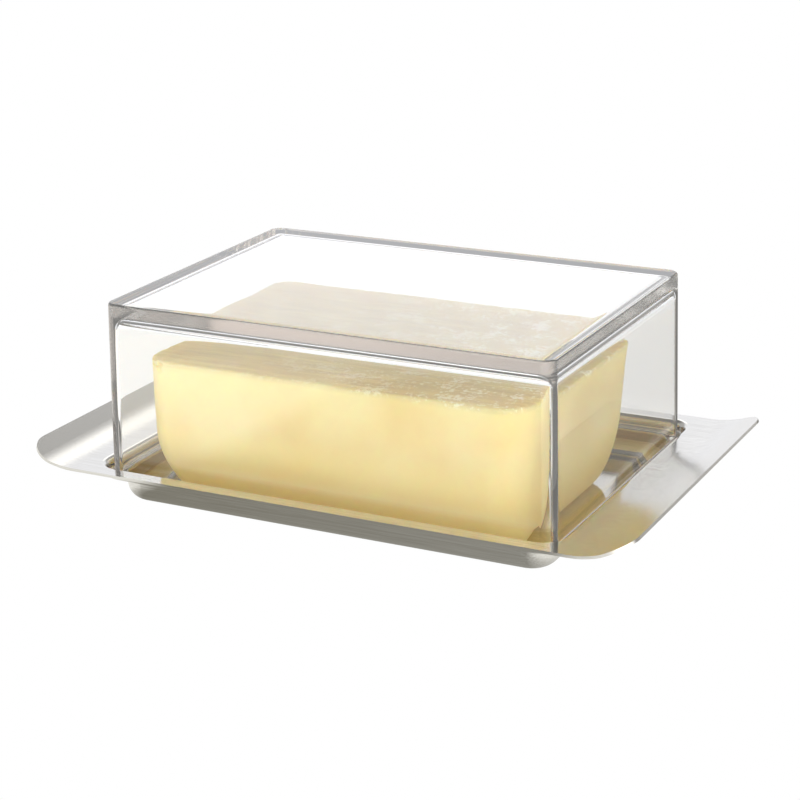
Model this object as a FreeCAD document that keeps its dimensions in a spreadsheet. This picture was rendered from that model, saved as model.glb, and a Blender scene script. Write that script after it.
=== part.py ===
import FreeCAD, Part
import math
import os

import Sketcher

# Butter dish: a pressed stainless steel tray, a clear moulded cover that sits in the tray's recess,
# and the 250 g butter block that the dish is sized around.
# Origin: centre of the tray's underside, where it rests on the table. +X along the dish, +Z up.

doc = FreeCAD.newDocument("butter_dish")

# ---- driving dimensions, in millimetres and degrees ----
DIMENSIONS = {
    "tray_length": 171.0,
    "tray_width": 105.6,
    "sheet_thickness": 0.75,
    "flange_height": 10.9,
    "plan_corner_radius": 8.5,
    "wing_bend_start": 70.3,
    "wing_bend_radius": 25.0,
    "wing_angle": 23.0,
    "recess_length": 130.4,
    "recess_width": 94.8,
    "recess_corner_radius": 5.5,
    "rim_radius": 1.7,
    "ledge_height": 8.0,
    "ledge_corner_radius": 0.6,
    "basin_length": 123.2,
    "basin_width": 87.8,
    "basin_corner_radius": 7.0,
    "basin_draft": 3.0,
    "basin_edge_radius": 0.9,
    "floor_radius": 4.2,
    "cover_length": 127.4,
    "cover_width": 90.9,
    "cover_height": 46.7,
    "cover_draft": 1.0,
    "cover_wall": 2.1,
    "cover_top": 4.3,
    "cover_corner_radius": 3.6,
    "cover_inner_radius": 1.8,
    "cover_ceiling_radius": 1.2,
    "cover_edge_radius": 0.7,
    "cover_foot_radius": 0.3,
    "resting_gap": 0.05,
    "butter_length": 109.0,
    "butter_width": 71.4,
    "butter_height": 39.2,
    "butter_offset_y": -4.1,
    "butter_corner_radius": 6.0,
    "butter_base_radius": 13.0,
}

sizes = doc.addObject("Spreadsheet::Sheet", "Sizes")
for row, (alias, value) in enumerate(DIMENSIONS.items(), start=1):
    sizes.set(f"A{row}", alias)
    sizes.set(f"B{row}", str(value))
    sizes.setAlias(f"B{row}", alias)
doc.recompute()

TOLERANCE = 0.01


def size(alias):
    """The value of one named dimension."""
    return float(sizes.get(alias))


def new_body(name):
    """An empty body, named after the piece that it becomes."""
    body = doc.addObject("PartDesign::Body", name)
    body.Label = name
    body.Placement = FreeCAD.Placement()
    return body


def new_sketch(body, name, role, height=None):
    """A sketch on one of the body's origin planes, lifted by the expression in height."""
    sketch = body.newObject("Sketcher::SketchObject", name)
    plane = next(item for item in body.Origin.OriginFeatures if item.Role == role)
    sketch.AttachmentSupport = [(plane, "")]
    sketch.MapMode = "FlatFace"
    if height is not None:
        sketch.setExpression("AttachmentOffset.Base.z", height)
    return sketch


def bind(sketch, constraint, name, expression):
    """Add a dimension to a sketch, name it and bind it to the spreadsheet."""
    index = sketch.addConstraint(constraint)
    sketch.renameConstraint(index, name)
    sketch.setExpression(f"Constraints.{name}", expression)


def rounded_rectangle(sketch, half_x, half_y, radius, centre_y=None):
    """A rectangle with round corners, centred on the origin or centre_y off it, driven by expressions."""
    span_x, span_y, corner = 40.0, 30.0, 5.0
    ends = [
        ((-span_x, -span_y - corner), (span_x, -span_y - corner)),
        ((span_x + corner, -span_y), (span_x + corner, span_y)),
        ((span_x, span_y + corner), (-span_x, span_y + corner)),
        ((-span_x - corner, span_y), (-span_x - corner, -span_y)),
    ]
    for start, end in ends:
        sketch.addGeometry(Part.LineSegment(FreeCAD.Vector(*start, 0), FreeCAD.Vector(*end, 0)))
    centres = [(span_x, -span_y), (span_x, span_y), (-span_x, span_y), (-span_x, -span_y)]
    for turn, centre in enumerate(centres):
        circle = Part.Circle(FreeCAD.Vector(*centre, 0), FreeCAD.Vector(0, 0, 1), corner)
        first = (turn - 1) * math.pi / 2
        sketch.addGeometry(Part.ArcOfCircle(circle, first, first + math.pi / 2))
    for side in range(4):
        arc = 4 + side
        sketch.addConstraint(Sketcher.Constraint("Tangent", side, 2, arc, 1))
        sketch.addConstraint(Sketcher.Constraint("Tangent", arc, 2, (side + 1) % 4, 1))
    for side, direction in enumerate(("Horizontal", "Vertical", "Horizontal", "Vertical")):
        sketch.addConstraint(Sketcher.Constraint(direction, side))
    for arc in (5, 6, 7):
        sketch.addConstraint(Sketcher.Constraint("Equal", 4, arc))
    bind(sketch, Sketcher.Constraint("Radius", 4, corner), "corner", radius)
    bind(sketch, Sketcher.Constraint("DistanceX", -1, 1, 1, 1, span_x), "right", half_x)
    bind(sketch, Sketcher.Constraint("DistanceX", 3, 1, -1, 1, span_x), "left", half_x)
    low, high = half_y, half_y
    if centre_y is not None:
        low = f"{half_y} - {centre_y}"
        high = f"{half_y} + {centre_y}"
    bind(sketch, Sketcher.Constraint("DistanceY", 0, 1, -1, 1, span_y), "front", low)
    bind(sketch, Sketcher.Constraint("DistanceY", -1, 1, 2, 1, span_y), "back", high)


def pad(body, sketch, name, length, taper=None, midplane=False):
    """Extrude a sketch along its normal, sloping the walls where a taper is given."""
    feature = body.newObject("PartDesign::Pad", name)
    feature.Profile = sketch
    feature.setExpression("Length", length)
    feature.Midplane = midplane
    if taper is not None:
        feature.setExpression("TaperAngle", taper)
    sketch.Visibility = False
    doc.recompute()
    return feature


def pocket(body, sketch, name, length, taper=None, upwards=False):
    """Cut a sketch into the body and check that it really took material away."""
    before = body.Shape.Volume
    feature = body.newObject("PartDesign::Pocket", name)
    feature.Profile = sketch
    feature.setExpression("Length", length)
    feature.Reversed = upwards
    if taper is not None:
        feature.setExpression("TaperAngle", taper)
    sketch.Visibility = False
    doc.recompute()
    if body.Shape.Volume > before - 1.0:
        raise RuntimeError(f"{name} cut nothing")
    return feature


def fillet(body, name, edges, radius):
    """Round the named edges of the body's present shape."""
    if not edges:
        raise RuntimeError(f"{name} found no edges")
    base = body.Tip
    feature = body.newObject("PartDesign::Fillet", name)
    feature.Base = (base, edges)
    feature.setExpression("Radius", radius)
    doc.recompute()
    return feature


def loop_edges(shape, height, half_x, half_y, centre_y=0.0):
    """Names of the edges that run round a rectangle of this half size at this height."""
    names = []
    for index, edge in enumerate(shape.Edges, start=1):
        points = [vertex.Point for vertex in edge.Vertexes] + [edge.CenterOfMass]
        if any(abs(point.z - height) > TOLERANCE for point in points):
            continue
        reach = [(abs(point.x), abs(point.y - centre_y)) for point in points[:-1]]
        on_x = [abs(x - half_x) < TOLERANCE for x, _ in reach]
        on_y = [abs(y - half_y) < TOLERANCE for _, y in reach]
        inside = all(x < half_x + TOLERANCE and y < half_y + TOLERANCE for x, y in reach)
        if inside and all(a or b for a, b in zip(on_x, on_y)):
            names.append(f"Edge{index}")
    return names


def sheet_corner_edges(shape, half_y):
    """Names of the edges, one sheet thickness long, that stand at the four outer corners of the sheet."""
    names = []
    for index, edge in enumerate(shape.Edges, start=1):
        at_side = all(abs(abs(vertex.Point.y) - half_y) < TOLERANCE for vertex in edge.Vertexes)
        if at_side and abs(edge.Length - size("sheet_thickness")) < TOLERANCE:
            names.append(f"Edge{index}")
    return names


def wing_profile(body):
    """Half of the sheet's side view: flat flange, bend, then a straight run up to the end."""
    sketch = new_sketch(body, "wing_profile", "XZ_Plane")
    top, thick = size("flange_height"), size("sheet_thickness")
    bend, radius = size("wing_bend_start"), size("wing_bend_radius")
    angle, end = math.radians(size("wing_angle")), size("tray_length") / 2
    centre = FreeCAD.Vector(bend, top + radius, 0)

    def on_bend(distance):
        return centre + FreeCAD.Vector(math.sin(angle), -math.cos(angle), 0) * distance

    upper_bend, lower_bend = on_bend(radius), on_bend(radius + thick)
    run = (end - lower_bend.x) / math.cos(angle)
    along = FreeCAD.Vector(math.cos(angle), math.sin(angle), 0) * run
    corners = {
        "inner_top": FreeCAD.Vector(0, top, 0),
        "bend_top": FreeCAD.Vector(bend, top, 0),
        "end_top": upper_bend + along,
        "end_low": lower_bend + along,
        "bend_low": FreeCAD.Vector(bend, top - thick, 0),
        "inner_low": FreeCAD.Vector(0, top - thick, 0),
    }
    down = -math.pi / 2
    upper = Part.Circle(centre, FreeCAD.Vector(0, 0, 1), radius)
    lower = Part.Circle(centre, FreeCAD.Vector(0, 0, 1), radius + thick)
    sketch.addGeometry(Part.LineSegment(corners["inner_top"], corners["bend_top"]))
    sketch.addGeometry(Part.ArcOfCircle(upper, down, down + angle))
    sketch.addGeometry(Part.LineSegment(upper_bend, corners["end_top"]))
    sketch.addGeometry(Part.LineSegment(corners["end_top"], corners["end_low"]))
    sketch.addGeometry(Part.LineSegment(corners["end_low"], lower_bend))
    sketch.addGeometry(Part.ArcOfCircle(lower, down, down + angle))
    sketch.addGeometry(Part.LineSegment(corners["bend_low"], corners["inner_low"]))
    sketch.addGeometry(Part.LineSegment(corners["inner_low"], corners["inner_top"]))
    joins = [(0, 2, 1, 1), (1, 2, 2, 1), (4, 2, 5, 2), (5, 1, 6, 1)]
    for first, first_end, second, second_end in joins:
        sketch.addConstraint(Sketcher.Constraint("Tangent", first, first_end, second, second_end))
    for first, first_end, second, second_end in [(2, 2, 3, 1), (3, 2, 4, 1), (6, 2, 7, 1), (7, 2, 0, 1)]:
        sketch.addConstraint(Sketcher.Constraint("Coincident", first, first_end, second, second_end))
    sketch.addConstraint(Sketcher.Constraint("Horizontal", 0))
    sketch.addConstraint(Sketcher.Constraint("Horizontal", 6))
    sketch.addConstraint(Sketcher.Constraint("Vertical", 7))
    sketch.addConstraint(Sketcher.Constraint("Parallel", 2, 4))
    sketch.addConstraint(Sketcher.Constraint("Coincident", 1, 3, 5, 3))
    sketch.addConstraint(Sketcher.Constraint("Perpendicular", 2, 3))
    sketch.addConstraint(Sketcher.Constraint("PointOnObject", 0, 1, -2))
    bind(sketch, Sketcher.Constraint("DistanceY", -1, 1, 0, 1, top), "top", "Sizes.flange_height")
    bind(sketch, Sketcher.Constraint("DistanceY", 7, 1, 7, 2, thick), "thickness", "Sizes.sheet_thickness")
    bind(sketch, Sketcher.Constraint("DistanceX", 0, 1, 0, 2, bend), "bend", "Sizes.wing_bend_start")
    bind(sketch, Sketcher.Constraint("Radius", 1, radius), "radius", "Sizes.wing_bend_radius")
    bind(sketch, Sketcher.Constraint("DistanceX", -1, 1, 3, 2, end), "reach", "Sizes.tray_length / 2")
    bind(sketch, Sketcher.Constraint("Angle", 0, 1, 2, 1, angle), "angle", "Sizes.wing_angle * 1 deg")
    return sketch


def make_tray():
    """Pressed sheet: two raised wings, a recess for the cover's foot, and a basin below it."""
    body = new_body("tray")
    thick = size("sheet_thickness")
    half_width = size("tray_width") / 2
    pad(body, wing_profile(body), "sheet", "Sizes.tray_width", midplane=True)
    mirrored = body.newObject("PartDesign::Mirrored", "both_wings")
    mirrored.Originals = [body.getObject("sheet")]
    plane = next(item for item in body.Origin.OriginFeatures if item.Role == "YZ_Plane")
    mirrored.MirrorPlane = (plane, [""])
    body.Tip = mirrored
    doc.recompute()
    fillet(body, "plan_corners", sheet_corner_edges(body.Shape, half_width),
           "Sizes.plan_corner_radius")

    outer_recess = new_sketch(body, "recess_outside", "XY_Plane",
                              "Sizes.ledge_height - Sizes.sheet_thickness")
    rounded_rectangle(outer_recess, "Sizes.recess_length / 2 + Sizes.sheet_thickness",
                      "Sizes.recess_width / 2 + Sizes.sheet_thickness",
                      "Sizes.recess_corner_radius + Sizes.sheet_thickness")
    pad(body, outer_recess, "recess_block",
        "Sizes.flange_height - Sizes.ledge_height + Sizes.sheet_thickness / 2")

    outer_basin = new_sketch(body, "basin_outside", "XY_Plane",
                             "Sizes.ledge_height - Sizes.sheet_thickness / 2")
    rounded_rectangle(outer_basin, "Sizes.basin_length / 2 + Sizes.sheet_thickness",
                      "Sizes.basin_width / 2 + Sizes.sheet_thickness",
                      "Sizes.basin_corner_radius + Sizes.sheet_thickness")
    block = pad(body, outer_basin, "basin_block", "Sizes.ledge_height - Sizes.sheet_thickness / 2",
                "-Sizes.basin_draft * 1 deg")
    block.Reversed = True
    doc.recompute()

    recess = new_sketch(body, "recess_inside", "XY_Plane", "Sizes.flange_height")
    rounded_rectangle(recess, "Sizes.recess_length / 2", "Sizes.recess_width / 2",
                      "Sizes.recess_corner_radius")
    pocket(body, recess, "recess", "Sizes.flange_height - Sizes.ledge_height")
    basin = new_sketch(body, "basin_inside", "XY_Plane", "Sizes.ledge_height")
    rounded_rectangle(basin, "Sizes.basin_length / 2", "Sizes.basin_width / 2",
                      "Sizes.basin_corner_radius")
    pocket(body, basin, "basin", "Sizes.ledge_height - Sizes.sheet_thickness",
           "-Sizes.basin_draft * 1 deg")

    slope = math.tan(math.radians(size("basin_draft")))
    recess_x, recess_y = size("recess_length") / 2, size("recess_width") / 2
    basin_x, basin_y = size("basin_length") / 2, size("basin_width") / 2
    ledge, flange = size("ledge_height"), size("flange_height")
    floor_in = (ledge - thick) * slope
    base_in = (ledge - thick / 2) * slope - thick
    fillet(body, "floor_round", loop_edges(body.Shape, thick, basin_x - floor_in, basin_y - floor_in),
           "Sizes.floor_radius")
    fillet(body, "base_round", loop_edges(body.Shape, 0.0, basin_x - base_in, basin_y - base_in),
           "Sizes.floor_radius + Sizes.sheet_thickness")
    fillet(body, "rim_round", loop_edges(body.Shape, flange, recess_x, recess_y), "Sizes.rim_radius")
    fillet(body, "rim_underside", loop_edges(body.Shape, flange - thick, recess_x + thick, recess_y + thick),
           "Sizes.rim_radius - Sizes.sheet_thickness")
    fillet(body, "ledge_round", loop_edges(body.Shape, ledge, recess_x, recess_y),
           "Sizes.ledge_corner_radius")
    fillet(body, "ledge_outside", loop_edges(body.Shape, ledge - thick, recess_x + thick, recess_y + thick),
           "Sizes.ledge_corner_radius + Sizes.sheet_thickness")
    fillet(body, "basin_lip", loop_edges(body.Shape, ledge, basin_x, basin_y), "Sizes.basin_edge_radius")
    return body


def make_cover():
    """Clear moulded cover: drafted walls, a thick top plate and a softly rounded ceiling."""
    body = new_body("cover")
    foot = size("ledge_height") + size("resting_gap")
    height, wall, top = size("cover_height"), size("cover_wall"), size("cover_top")
    half_x, half_y = size("cover_length") / 2, size("cover_width") / 2
    slope = math.tan(math.radians(size("cover_draft")))
    outside = new_sketch(body, "cover_outside", "XY_Plane", "Sizes.ledge_height + Sizes.resting_gap")
    rounded_rectangle(outside, "Sizes.cover_length / 2", "Sizes.cover_width / 2",
                      "Sizes.cover_corner_radius")
    pad(body, outside, "cover_block", "Sizes.cover_height", "-Sizes.cover_draft * 1 deg")
    inside = new_sketch(body, "cover_inside", "XY_Plane", "Sizes.ledge_height + Sizes.resting_gap")
    rounded_rectangle(inside, "Sizes.cover_length / 2 - Sizes.cover_wall",
                      "Sizes.cover_width / 2 - Sizes.cover_wall", "Sizes.cover_inner_radius")
    pocket(body, inside, "hollow", "Sizes.cover_height - Sizes.cover_top",
           "-Sizes.cover_draft * 1 deg", upwards=True)
    ceiling_in = wall + (height - top) * slope
    crown_in = height * slope
    fillet(body, "ceiling_round",
           loop_edges(body.Shape, foot + height - top, half_x - ceiling_in, half_y - ceiling_in),
           "Sizes.cover_ceiling_radius")
    fillet(body, "crown_round",
           loop_edges(body.Shape, foot + height, half_x - crown_in, half_y - crown_in),
           "Sizes.cover_edge_radius")
    rims = loop_edges(body.Shape, foot, half_x, half_y)
    rims += loop_edges(body.Shape, foot, half_x - wall, half_y - wall)
    fillet(body, "foot_round", rims, "Sizes.cover_foot_radius")
    return body


def make_butter():
    """A 250 g block, soft enough to have rounded underneath."""
    body = new_body("butter_block")
    base = size("sheet_thickness") + size("resting_gap")
    centre = size("butter_offset_y")
    half_x, half_y = size("butter_length") / 2, size("butter_width") / 2
    outline = new_sketch(body, "butter_outline", "XY_Plane", "Sizes.sheet_thickness + Sizes.resting_gap")
    rounded_rectangle(outline, "Sizes.butter_length / 2", "Sizes.butter_width / 2",
                      "Sizes.butter_corner_radius", "Sizes.butter_offset_y")
    pad(body, outline, "butter", "Sizes.butter_height")
    fillet(body, "butter_base", loop_edges(body.Shape, base, half_x, half_y, centre),
           "Sizes.butter_base_radius")
    return body


def check(bodies):
    """Stop if any object is in error or any piece isn't one valid solid."""
    for item in doc.Objects:
        if "Invalid" in item.State or "Error" in item.State:
            raise RuntimeError(f"{item.Name} is in error")
        if item.TypeId == "Sketcher::SketchObject" and not item.FullyConstrained:
            raise RuntimeError(f"{item.Name} isn't fully constrained")
    for body in bodies:
        shape = body.Shape
        if shape.isNull() or not shape.isValid() or len(shape.Solids) != 1:
            raise RuntimeError(f"{body.Label} isn't one valid solid")


def export(bodies):
    """Write each piece to its own STEP file."""
    os.makedirs("parts", exist_ok=True)
    for body in bodies:
        body.Shape.exportStep(f"parts/{body.Label}.step")


pieces = [make_tray(), make_cover(), make_butter()]
doc.recompute()
check(pieces)
export(pieces)
for piece in pieces:
    box = piece.Shape.BoundBox
    print(piece.Label, round(piece.Shape.Volume), "mm3",
          [round(v, 2) for v in (box.XMin, box.XMax, box.YMin, box.YMax, box.ZMin, box.ZMax)])
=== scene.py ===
import math

import bpy
import numpy as np
from mathutils import Matrix, Vector


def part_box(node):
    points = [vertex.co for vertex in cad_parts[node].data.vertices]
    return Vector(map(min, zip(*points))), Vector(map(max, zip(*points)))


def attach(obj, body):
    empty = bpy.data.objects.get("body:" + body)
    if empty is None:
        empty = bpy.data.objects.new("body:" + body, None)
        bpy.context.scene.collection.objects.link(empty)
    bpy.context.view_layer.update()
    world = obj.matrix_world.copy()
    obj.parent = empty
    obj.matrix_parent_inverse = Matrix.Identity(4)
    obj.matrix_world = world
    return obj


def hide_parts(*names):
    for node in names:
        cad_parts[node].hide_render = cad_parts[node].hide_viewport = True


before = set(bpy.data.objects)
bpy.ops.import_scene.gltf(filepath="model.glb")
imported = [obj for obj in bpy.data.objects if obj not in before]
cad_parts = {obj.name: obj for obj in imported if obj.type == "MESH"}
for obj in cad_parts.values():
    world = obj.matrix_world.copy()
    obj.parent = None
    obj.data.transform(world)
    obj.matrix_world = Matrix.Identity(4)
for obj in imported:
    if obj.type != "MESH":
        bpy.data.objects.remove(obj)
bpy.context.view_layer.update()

# ---- Tray ----
# One sheet of 0.75 mm stainless steel, pressed cold: raised wings, a recess and ledge for the cover's foot,
# and the basin. It is satin polished along its length, and the wings, where hands take it, are duller.

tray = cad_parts["tray"]
wing_foot, wing_slope = 0.064, 0.074
lines_per_metre, drawn_along_x = 5000.0, (0.012, 1.0, 1.0)
steel_dark, steel_light = (0.59, 0.57, 0.53), (0.70, 0.685, 0.65)


class Bench:
    """A node tree with short ways to add to it. Every way but feed returns an output socket."""

    def __init__(self, tree):
        self.tree = tree

    def feed(self, node, inputs):
        """Feed a node's inputs, each from another node's output, a number, a vector or a colour."""
        for name, value in inputs.items():
            socket = node.inputs[name]
            if isinstance(value, bpy.types.NodeSocket):
                self.tree.links.new(value, socket)
            else:
                socket.default_value = value + (1.0,) if socket.type == "RGBA" else value

    def add(self, kind, output, inputs, **settings):
        """Add a node with its settings, feed it and return the named output."""
        node = self.tree.nodes.new(kind)
        for key, value in settings.items():
            setattr(node, key, value)
        self.feed(node, inputs)
        return node.outputs[output]

    def place(self):
        """The point on the object, in metres."""
        return self.add("ShaderNodeTexCoord", "Object", {})

    def axis(self, point, letter):
        """One of a point's three coordinates."""
        return self.add("ShaderNodeSeparateXYZ", letter, {"Vector": point})

    def stretched(self, point, factors):
        """A point with each coordinate multiplied, so that a pattern is drawn out where a factor is small."""
        return self.add("ShaderNodeVectorMath", "Vector", {0: point, 1: factors}, operation="MULTIPLY")

    def noise(self, point, scale, detail, roughness=0.5):
        """Noise around 0.5, with scale lumps per metre."""
        inputs = {"Vector": point, "Scale": scale, "Detail": detail, "Roughness": roughness}
        return self.add("ShaderNodeTexNoise", "Fac", inputs)

    def ramp(self, source, low, high, from_low=0.3, from_high=0.7):
        """Carry a value from between from_low and from_high to between low and high, and no further."""
        inputs = {"Value": source, "From Min": from_low, "From Max": from_high, "To Min": low, "To Max": high}
        return self.add("ShaderNodeMapRange", "Result", inputs, clamp=True)

    def blend(self, factor, first, second, way="MIX"):
        """Mix two colours: the first where the factor is 0, the second where it is 1."""
        inputs = {"Factor": factor, "A": first, "B": second}
        return self.add("ShaderNodeMix", "Result", inputs, data_type="RGBA", blend_type=way)

    def sums(self, operation, *values):
        """One step of arithmetic."""
        return self.add("ShaderNodeMath", "Value", dict(enumerate(values)), operation=operation)

    def bump(self, height, strength, distance):
        """A normal tilted by the slope of a height pattern that is distance metres deep."""
        inputs = {"Height": height, "Strength": strength, "Distance": distance}
        return self.add("ShaderNodeBump", "Normal", inputs)


def new_material(name):
    """A fresh node material as (material, its tree as a bench, its Principled shader)."""
    material = bpy.data.materials.new(name)
    material.use_nodes = True
    shader = next(n for n in material.node_tree.nodes if n.type == "BSDF_PRINCIPLED")
    return material, Bench(material.node_tree), shader


def satin_steel():
    """Steel with fine belt lines along X, lighter and darker by turns; past the foot of each wing the face
    grows duller until it is well onto the slope."""
    material, bench, shader = new_material("satin_steel")
    place = bench.place()
    lines = bench.noise(bench.stretched(place, drawn_along_x), lines_per_metre, 3.0, 0.6)
    from_middle = bench.sums("ABSOLUTE", bench.axis(place, "X"))
    wing_dullness = bench.ramp(from_middle, 0.0, 0.13, wing_foot, wing_slope)
    bench.feed(shader, {
        "Metallic": 1.0,
        "Roughness": bench.sums("ADD", bench.ramp(lines, 0.06, 0.14), wing_dullness),
        "Base Color": bench.blend(bench.ramp(lines, 0.0, 1.0, 0.36, 0.64), steel_dark, steel_light),
        "Normal": bench.bump(lines, 0.08, 0.00002),
    })
    return material


tray.data.materials.clear()
tray.data.materials.append(satin_steel())

# ---- Butter ----
# A 250 g block as it comes out of its wrapper: flat and a little crumbly on top, the underside rounded off
# by softening. It lies in the basin by its own weight; the right end is the face the knife has cut.

butter_low, butter_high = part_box("butter_block")
shoulder, top_edge, cut_lean = 0.0193, 0.0007, 0.003
inset_right, inset_left, inset_rear, inset_front = 0.0068, 0.0094, 0.0136, 0.0128
plan_corner, wider_when_cut, tighter_below = 0.0077, 0.0015, 0.002
square_foot_x, square_foot_y = 0.0028, 0.0046
# the third colour is the deeper tone of the softened lower fat, also painted lighter to stand in for bounce
# light it lacks
fat_deep, fat_pale, softened_fat_painted_lighter = (0.88, 0.71, 0.33), (0.94, 0.81, 0.44), (1.0, 0.80, 0.33)
# the second colour paints highlights on the crumbly top; the third is a painted glow for the lower part,
# standing in for light scattered through the block
dried_skin, painted_crumb_highlight, painted_glow_colour = (0.74, 0.60, 0.32), (1.0, 0.93, 0.70), (1.0, 0.66, 0.2)


def ripple(x, y, z, seed, cycles):
    """Smooth unevenness of about -1 to 1: six sines with seeded directions and phases added up,
    sin(2 pi * cycles * (direction . point) + phase), with cycles per metre, and divided by 3.2."""
    dice = np.random.default_rng(seed)
    total = np.zeros(x.shape)
    for _ in range(6):
        way = dice.normal(size=3)
        way *= cycles * 2 * np.pi / np.linalg.norm(way)
        total += np.sin(way[0] * x + way[1] * y + way[2] * z + dice.uniform(0, 2 * np.pi))
    return total / 3.2


def ring_stations(straight, turn):
    """One trip round a rounded rectangle as (p, n): p runs round the square -1..1 along the straights and
    waits at each corner while n, the outward direction, turns through 90 degrees. A point on a ring is
    centre + (half size - corner radius) * p + corner radius * n."""
    side = np.linspace(-1, 1, straight, endpoint=False)
    bend = np.linspace(0, np.pi / 2, turn, endpoint=False)
    p, n = [], []
    for quarter in range(4):
        c, s = round(math.cos(quarter * math.pi / 2)), round(math.sin(quarter * math.pi / 2))
        spin = np.array([[c, s], [-s, c]])
        p.append(np.stack([np.ones(straight), side], 1) @ spin)
        n.append(np.stack([np.ones(straight), np.zeros(straight)], 1) @ spin)
        p.append(np.ones((turn, 2)) @ spin)
        n.append(np.stack([np.cos(bend), np.sin(bend)], 1) @ spin)
    return np.concatenate(p), np.concatenate(n)


def closed_skin(name, rings, cap_low, cap_high):
    """Mesh object from a stack of rings (levels, around, 3), joined by quads and closed by a fan to the
    point cap_low under the first ring and to cap_high over the last."""
    levels, around = rings.shape[:2]
    points = np.concatenate([rings.reshape(-1, 3), [cap_low, cap_high]])
    here = np.arange(around)
    there = (here + 1) % around
    base = np.arange(levels - 1)[:, None] * around
    corners = [base + here, base + there, base + around + there, base + around + here]
    quads = np.stack(corners, -1).reshape(-1, 4)
    last = (levels - 1) * around
    floor_fan = np.stack([there, here, np.full(around, levels * around)], -1)
    roof_fan = np.stack([last + here, last + there, np.full(around, levels * around + 1)], -1)
    mesh = bpy.data.meshes.new(name)
    mesh.from_pydata(points.tolist(), [], quads.tolist() + floor_fan.tolist() + roof_fan.tolist())
    mesh.polygons.foreach_set("use_smooth", np.ones(len(mesh.polygons), dtype=bool))
    mesh.update()
    skin = bpy.data.objects.new(name, mesh)
    bpy.context.scene.collection.objects.link(skin)
    return skin


def butter_mesh():
    """Rings (v) of rounded rectangles (u). For a ring at height z below the shoulder h, every side is drawn
    in by inset * (1 - sqrt(1 - (1 - z/h)^2)), each side having its own inset; above it the sides are flat
    and the last steps turn in over a small quarter circle. Then the flat top closes in to the middle.
    Ripples dent the sides, and crumbs of ripple bite into the top edge, most at the front left corner."""
    p, n = ring_stations(70, 26)
    wrapper_room = 0.0003
    low, high = np.array(butter_low) + wrapper_room, np.array(butter_high) - wrapper_room
    tall = high[2] - low[2]

    # the rings in five runs: the underside, the rounding up to the shoulder, the wall, the top edge, the top
    under = np.linspace(0.04, 0.98, 24)
    climb = np.linspace(0, 1, 70) * np.pi / 2
    wall = np.linspace(shoulder, tall - top_edge, 90)[1:]
    arc = np.linspace(0, 1, 7)[1:] * np.pi / 2
    close = np.linspace(0, 1, 40)[1:-1]
    height = np.concatenate([np.zeros(under.size), shoulder * (1 - np.cos(climb)), wall,
                             tall - top_edge + top_edge * np.sin(arc), np.full(close.size, tall)])
    drawn = np.concatenate([np.ones(under.size), 1 - np.sin(climb),
                            np.zeros(wall.size + arc.size + close.size)])
    pulled = np.concatenate([np.zeros(under.size + climb.size + wall.size),
                             top_edge * (1 - np.cos(arc)), np.full(close.size, top_edge)])
    size = np.concatenate([under, np.ones(climb.size + wall.size + arc.size), 1 - close])

    # the four sides of every ring, then its points
    lean = cut_lean * np.clip(1 - height / tall, 0, 1)
    right, left = high[0] - inset_right * drawn - pulled - lean, low[0] + inset_left * drawn + pulled
    rear, front = high[1] - inset_rear * drawn - pulled, low[1] + inset_front * drawn + pulled
    corner = plan_corner + wider_when_cut * p[:, 0] - tighter_below * drawn[:, None] * (1 + p[:, 0])
    middle_x, middle_y = ((right + left) / 2)[:, None], ((rear + front) / 2)[:, None]
    half_x, half_y = ((right - left) / 2)[:, None], ((rear - front) / 2)[:, None]
    x = middle_x + size[:, None] * ((half_x - corner) * p[:, 0] + corner * n[:, 0])
    y = middle_y + size[:, None] * ((half_y - corner) * p[:, 1] + corner * n[:, 1])
    z = np.broadcast_to((low[2] + height)[:, None], x.shape).copy()

    # the underside is squarer towards the cut end, where the block has softened less
    squarer = drawn[:, None] * size[:, None] * np.clip((p[:, 0] + 0.3) / 1.3, 0, 1)
    x += square_foot_x * squarer * np.clip(p[:, 0], 0, 1)
    y -= square_foot_y * squarer * np.clip(-p[:, 1], 0, 1)

    # dents in the sides, gone towards the foot, and crumbs out of the top edge
    fade, set_in = 0.006, 0.0001
    side = (size == 1)[:, None] * np.clip(height / fade, 0, 1)[:, None]
    dent = 0.00018 * ripple(x, y, z, 3, 28.0) + 0.00007 * ripple(x, y, z, 4, 95.0)
    crumb = np.clip(ripple(x, y, z, 5, 420.0) + 0.6 * ripple(x, y, z, 6, 900.0) - 0.15, 0, 1)
    crumb_depth, corner_depth, edge_reach, corner_x, corner_y = 0.00022, 0.0013, 0.0022, 0.012, 0.014
    near_edge = np.exp(-((height - tall) / edge_reach) ** 2)[:, None]
    corner_spot = np.exp(-(((x - low[0]) / corner_x) ** 2 + ((y - low[1]) / corner_y) ** 2))
    bite = near_edge * crumb * (crumb_depth + corner_depth * corner_spot)
    x -= side * (dent * 0.5 + bite + set_in) * n[:, 0]
    y -= side * (dent * 0.5 + bite + set_in) * n[:, 1]
    upper = np.clip((height - tall + fade) / fade, 0, 1)[:, None]
    z -= upper * (0.5 * bite * size[:, None] + set_in * (1 + ripple(x, y, z, 8, 45.0)))
    cap_low = (float(middle_x[0, 0]), float(middle_y[0, 0]), float(z[0].mean()))
    cap_high = (float(middle_x[-1, 0]), float(middle_y[-1, 0]), float(z[-1].mean()))
    return closed_skin("butter", np.stack([x, y, z], -1), cap_low, cap_high)


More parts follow.
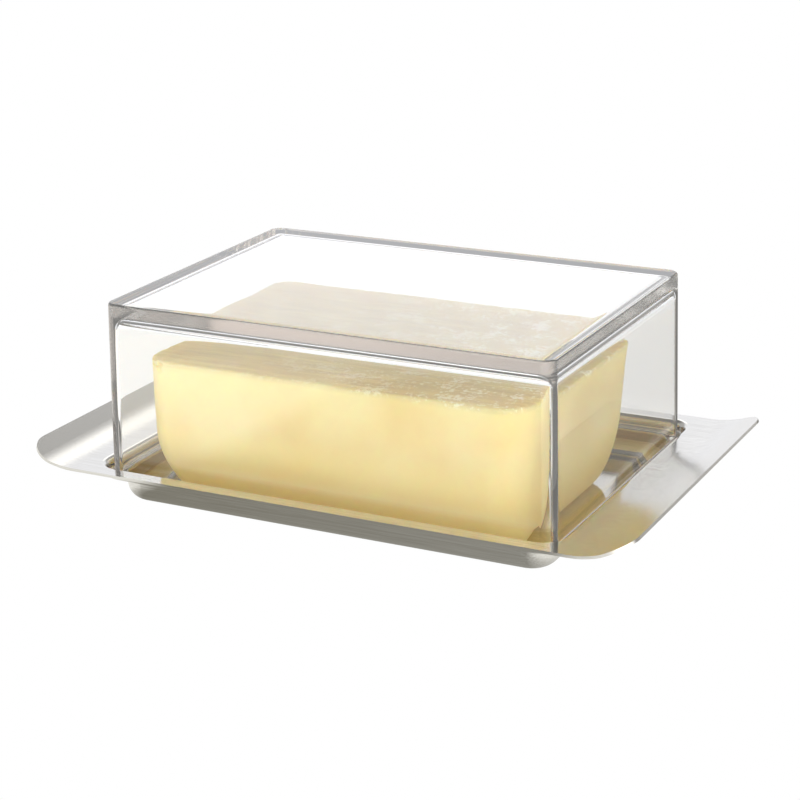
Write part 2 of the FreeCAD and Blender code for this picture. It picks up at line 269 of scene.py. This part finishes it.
def butter_fat():
    """Yellow fat, cloudy and slightly grainy; deeper in the softened lower part, which is also painted
    lighter and given a painted glow that stands in for light scattered through the block. On top, a dried
    skin with fibres along X, and whitish speckles, painted highlights on the crumbly surface, that grow
    towards the cut end."""
    material, bench, shader = new_material("butter")
    place = bench.place()
    along, height, top_face = bench.axis(place, "X"), bench.axis(place, "Z"), butter_high[2]
    cloud = bench.noise(place, 45.0, 4.0)
    fine = bench.noise(place, 900.0, 5.0, 0.65)
    fibre = bench.noise(bench.stretched(place, (0.12, 1.0, 1.0)), 480.0, 4.0)
    body = bench.blend(bench.ramp(cloud, 0.0, 1.0, 0.35, 0.65), fat_deep, fat_pale)
    # lower part: deeper softened fat, painted lighter to stand in for bounce light
    softened_and_painted_lighter = bench.blend(bench.ramp(height, 0.0, 1.0, 0.002, 0.026), softened_fat_painted_lighter, body)
    on_top = bench.ramp(height, 0.0, 1.0, top_face - 0.0022, top_face - 0.0006)
    skin = bench.sums("MULTIPLY", on_top, bench.ramp(fibre, 0.35, 1.0, 0.35, 0.65))
    dried = bench.blend(skin, softened_and_painted_lighter, dried_skin)
    # painted highlights: whitish speckles where the crumbly top catches the light, more of them towards the
    # cut end
    crumbs = bench.sums("MULTIPLY_ADD", bench.noise(place, 130.0, 3.0), 0.8, fine)
    patches = bench.sums("MULTIPLY", on_top, bench.ramp(crumbs, 0.0, 1.0, 0.93, 1.02))
    painted_highlight_spots = bench.sums("MULTIPLY", patches, bench.ramp(along, 0.1, 1.0, -0.035, 0.04))
    # painted glow in the lower part, standing in for light scattered through the block
    painted_glow = bench.blend(bench.ramp(height, 1.0, 0.0, 0.005, 0.024), (0.0, 0.0, 0.0), painted_glow_colour)
    bench.feed(shader, {
        "Base Color": bench.blend(painted_highlight_spots, dried, painted_crumb_highlight),
        "Roughness": bench.ramp(cloud, 0.38, 0.6),
        "Specular IOR Level": 0.35,
        "Normal": bench.bump(fine, 0.35, 0.00012),
        "Subsurface Weight": 0.8,
        "Subsurface Radius": (1.0, 0.6, 0.2),
        "Subsurface Scale": 0.013,
        "Emission Color": painted_glow,
        "Emission Strength": 0.2,
    })
    return material


butter = butter_mesh()
butter.data.materials.append(butter_fat())
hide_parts("butter_block")
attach(butter, "dish")

# ---- Cover ----
# A box of clear plastic moulded in one shot: walls with draft, a thick flat top and softly rounded edges,
# polished inside and out. Nothing fixes it; its foot stands on the tray's ledge and it lifts straight off.

cover_low, cover_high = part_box("cover")
plate, side_wall = 0.0043, 0.0021
# the second and third colours are a painted glow: faint on the walls, weaker on the top plate's side faces
plastic_tint, wall_painted_glow, rim_painted_glow = (0.985, 0.988, 0.985), (1.0, 0.98, 0.94), (0.25, 0.24, 0.23)
plastic_shade = (0.93, 0.93, 0.93)


def cover_mesh():
    """A closed skin of rounded-rectangle rings: from the middle of the ceiling out, round the ceiling's
    edge, down the inner wall, round the foot, up the outer wall, round the crown, back to the middle of
    the top. Walls lean by 1 degree: half size(z) = half size at the foot - (z - foot) * tan(1 degree).
    The corner radius is constant on the walls and shrinks as a ring moves in over the ceiling or the top."""
    gap_z, gap_side = 0.00002, 0.00003
    foot, top = cover_low[2] + gap_z, cover_high[2] - gap_z
    foot_x, foot_y = cover_high[0] - gap_side, cover_high[1] - gap_side
    slope, ceiling = math.tan(math.radians(1.0)), top - plate
    lip, crown, ceiling_round = 0.0004, 0.0007, 0.0032
    inner_corner, outer_corner = 0.0018, 0.0036

    def lean(z):
        return (z - foot) * slope

    def arc(centre_in, centre_z, radius, start, stop, steps=14):
        angle = np.radians(np.linspace(start, stop, steps))
        return np.stack([centre_in + radius * np.cos(angle), centre_z + radius * np.sin(angle)], 1)

    # the path as (inset from the foot's outer face, height); angle 0 points inwards, 90 up
    at_ceiling, at_top = side_wall + lean(ceiling), lean(top)
    drop = np.linspace(ceiling - ceiling_round, foot + lip, 12)[1:-1]
    inner = np.concatenate([
        arc(at_ceiling + ceiling_round, ceiling - ceiling_round, ceiling_round, 90, 180),
        np.stack([side_wall + lean(drop), drop], 1),
        arc(side_wall - lip, foot + lip, lip, 0, -90, 8),
    ])
    rise = np.linspace(foot + lip, top - crown, 12)[1:-1]
    outer = np.concatenate([
        arc(lip, foot + lip, lip, -90, -180, 8),
        np.stack([lean(rise), rise], 1),
        arc(at_top + crown, top - crown, crown, 180, 90),
    ])
    corner = np.concatenate([inner_corner - 0.5 * np.maximum(inner[:, 0] - at_ceiling, 0),
                             outer_corner - np.maximum(outer[:, 0] - at_top, 0)])
    inset, z = np.concatenate([inner, outer]).T

    # flat ceiling and top: the first and the last ring again, shrunk towards the middle
    shrink = np.array([0.03, 0.3, 0.6, 0.85, 0.95, 0.985])
    scale = np.concatenate([shrink, np.ones(inset.size), shrink[::-1]])[:, None]
    pick = np.pad(np.arange(inset.size), shrink.size, mode="edge")
    half_x, half_y, corner = (foot_x - inset)[pick, None], (foot_y - inset)[pick, None], corner[pick, None]
    p, n = ring_stations(96, 18)
    x = scale * ((half_x - corner) * p[:, 0] + corner * n[:, 0])
    y = scale * ((half_y - corner) * p[:, 1] + corner * n[:, 1])
    rings = np.stack([x, y, np.broadcast_to(z[pick, None], x.shape)], -1)
    return closed_skin("cover_shell", rings, (0.0, 0.0, float(z[0])), (0.0, 0.0, float(z[-1])))


def clear_plastic():
    """Clear plastic with the faint unevenness of a moulded face and a faint painted glow standing in for
    haze, weaker on the side faces of the top plate; those faces, which the mould leaves less polished, are
    duller. Lamps shine through without a shadow."""
    material, bench, shader = new_material("clear_plastic")
    place = bench.place()
    height, ceiling, top = bench.axis(place, "Z"), cover_high[2] - plate, cover_high[2]
    waves = bench.noise(place, 38.0, 1.0)
    scuffs = bench.noise(place, 260.0, 4.0)
    over_ceiling = bench.ramp(height, 0.0, 1.0, ceiling + 0.0003, ceiling + 0.0008)
    under_top = bench.ramp(height, 1.0, 0.0, top - 0.00022, top - 0.00008)
    rim = bench.sums("MULTIPLY", over_ceiling, under_top)
    bench.feed(shader, {
        "Base Color": plastic_tint,
        "IOR": 1.54,
        "Transmission Weight": 1.0,
        "Roughness": bench.sums("MULTIPLY_ADD", rim, 0.2, bench.ramp(scuffs, 0.01, 0.03, 0.4, 0.7)),
        "Normal": bench.bump(waves, 0.06, 0.0002),
        # painted glow: the plastic glows faintly, weaker on the top plate's side faces
        "Emission Color": bench.blend(rim, wall_painted_glow, rim_painted_glow),
        "Emission Strength": 0.011,
    })
    see_through = bench.add("ShaderNodeBsdfTransparent", "BSDF", {"Color": plastic_shade})
    in_shadow = bench.add("ShaderNodeLightPath", "Is Shadow Ray", {})
    inputs = {"Fac": in_shadow, 1: shader.outputs["BSDF"], 2: see_through}
    surface = bench.add("ShaderNodeMixShader", "Shader", inputs)
    bench.feed(material.node_tree.nodes["Material Output"], {"Surface": surface})
    return material


cover = cover_mesh()
cover.data.materials.append(clear_plastic())
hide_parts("cover")
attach(cover, "lifting_cover")

# ---- Table, light and camera ----
# A pale table running up into a white backdrop, under broad soft lamps. The eye sees the table white; steel
# mirrors it darker, as it would the room around it, and darker still just in front of the tray but not past
# its ends, a painted shadow of the tray; the butter takes its bounce light from it.

bpy.ops.mesh.primitive_plane_add(size=8.0)
table = bpy.context.object
table.name = "table"
table_white, lamplit = (1.0, 1.0, 1.0), (1.45, 1.42, 1.36)
rear_left, rear_right, far_off = (0.66, 0.56, 0.49), (0.27, 0.265, 0.25), (1.45, 1.45, 1.45)
# as mirrored, the table just in front of the tray is darker, a painted shadow of the tray; past the tray's
# ends it is lighter
shadowed_front_left, shadowed_front_right, front_ends = (0.29, 0.28, 0.235), (0.41, 0.41, 0.385), (1.1, 1.1, 1.07)


def table_glow():
    """Glowing white, with its own tone for each way of seeing it: by eye, mirrored by a polished face, or as
    the light that falls on a matt face."""
    material, bench, _ = new_material("table_white")
    place = bench.add("ShaderNodeNewGeometry", "Position", {})
    x, y = bench.axis(place, "X"), bench.axis(place, "Y")
    rightwards = bench.ramp(x, 0.0, 1.0, -0.10, 0.10)
    # painted shadow of the tray in front of it, left out past its ends
    past_ends = bench.ramp(bench.sums("ABSOLUTE", x), 0.0, 1.0, 0.056, 0.066)
    front = bench.blend(past_ends, bench.blend(rightwards, shadowed_front_left, shadowed_front_right), front_ends)
    rear = bench.blend(rightwards, rear_left, rear_right)
    near = bench.blend(bench.ramp(y, 0.0, 1.0, -0.02, 0.10), front, rear)
    mirrored = bench.blend(bench.ramp(y, 0.0, 1.0, 0.22, 0.5), near, far_off)
    glossy = bench.add("ShaderNodeLightPath", "Glossy Depth", {})
    diffuse = bench.add("ShaderNodeLightPath", "Diffuse Depth", {})
    in_mirror = bench.ramp(bench.sums("SUBTRACT", glossy, diffuse), 0.0, 1.0, 0.4, 0.6)
    on_matt = bench.ramp(diffuse, 0.0, 1.0, 0.4, 0.6)
    tone = bench.blend(on_matt, bench.blend(in_mirror, table_white, mirrored), lamplit)
    glow = bench.add("ShaderNodeEmission", "Emission", {"Color": tone})
    bench.feed(material.node_tree.nodes["Material Output"], {"Surface": glow})
    return material


table.data.materials.append(table_glow())

world = bpy.data.worlds.new("studio")
bpy.context.scene.world = world
world.use_nodes = True
sky = Bench(world.node_tree)
facing = sky.add("ShaderNodeTexCoord", "Generated", {})


def glow_patch(before, azimuth, height, spread, core, colour, strength):
    """Blend a soft round patch over the sky colour so far. Azimuth is degrees from straight behind (+Y)
    towards -X, height is degrees up; full inside core degrees of its middle, gone at spread degrees."""
    a, h = math.radians(azimuth), math.radians(height)
    way = (-math.sin(a) * math.cos(h), math.cos(a) * math.cos(h), math.sin(h))
    aligned = sky.add("ShaderNodeVectorMath", "Value", {0: facing, 1: way}, operation="DOT_PRODUCT")
    gone, full = math.cos(math.radians(spread)), math.cos(math.radians(core))
    inputs = {"Value": aligned, "From Min": gone, "From Max": full}
    fade = sky.add("ShaderNodeMapRange", "Result", inputs, interpolation_type="SMOOTHSTEP")
    return sky.blend(fade, before, tuple(c * strength for c in colour))


light = (0.6, 0.6, 0.6)
# the lit backdrop, its hot spot, the dim far side of the room, the front lamps, the side lamp, the ceiling
for patch in ((30, 14, 30, 15, (0.98, 1.0, 1.06), 1.2),
              (25, 32.5, 10, 3, (1.0, 1.0, 1.0), 2.1),
              (-45, 18, 50, 25, (1.0, 0.99, 0.97), 0.36),
              (175, 4, 80, 40, (1.0, 0.99, 0.97), 1.45),
              (-110, 8, 50, 22, (1.0, 0.98, 0.95), 2.7),
              (180, 85, 60, 35, (1.0, 1.0, 1.0), 0.18)):
    light = glow_patch(light, *patch)

# light that has run to and fro inside the cover's plate comes out weaker and warmer
turns = sky.add("ShaderNodeLightPath", "Glossy Depth", {})
for least_turns, what_is_left in ((2.5, (0.78, 0.70, 0.64)), (4.5, (0.55, 0.55, 0.55))):
    light = sky.blend(sky.sums("GREATER_THAN", turns, least_turns), light, what_is_left, "MULTIPLY")
sky.feed(world.node_tree.nodes["Background"], {"Color": light})

camera_data = bpy.data.cameras.new("camera")
camera = bpy.data.objects.new("camera", camera_data)
bpy.context.scene.collection.objects.link(camera)
bpy.context.scene.camera = camera
yaw, pitch, roll = math.radians(27.167), math.radians(18.671), math.radians(-1.056)
distance, centre = 0.562, Vector((0, 0, 0.00805))
shift_right, shift_up = -0.00018, 0.01433
back = Vector((math.sin(yaw) * math.cos(pitch), -math.cos(yaw) * math.cos(pitch), math.sin(pitch)))
level_right = (-back).cross(Vector((0, 0, 1))).normalized()
level_up = level_right.cross(-back)
right = math.cos(roll) * level_right + math.sin(roll) * level_up
up = -math.sin(roll) * level_right + math.cos(roll) * level_up
eye = centre + back * distance + right * shift_right + up * shift_up
camera.matrix_world = Matrix.Translation(eye) @ Matrix((right, up, back)).transposed().to_4x4()
camera_data.sensor_width = 36.0
camera_data.lens = 93.52
bpy.context.scene.view_settings.view_transform = "Standard"
bpy.context.scene.cycles.max_bounces = 32
bpy.context.scene.cycles.transmission_bounces = 32
bpy.context.scene.cycles.glossy_bounces = 12
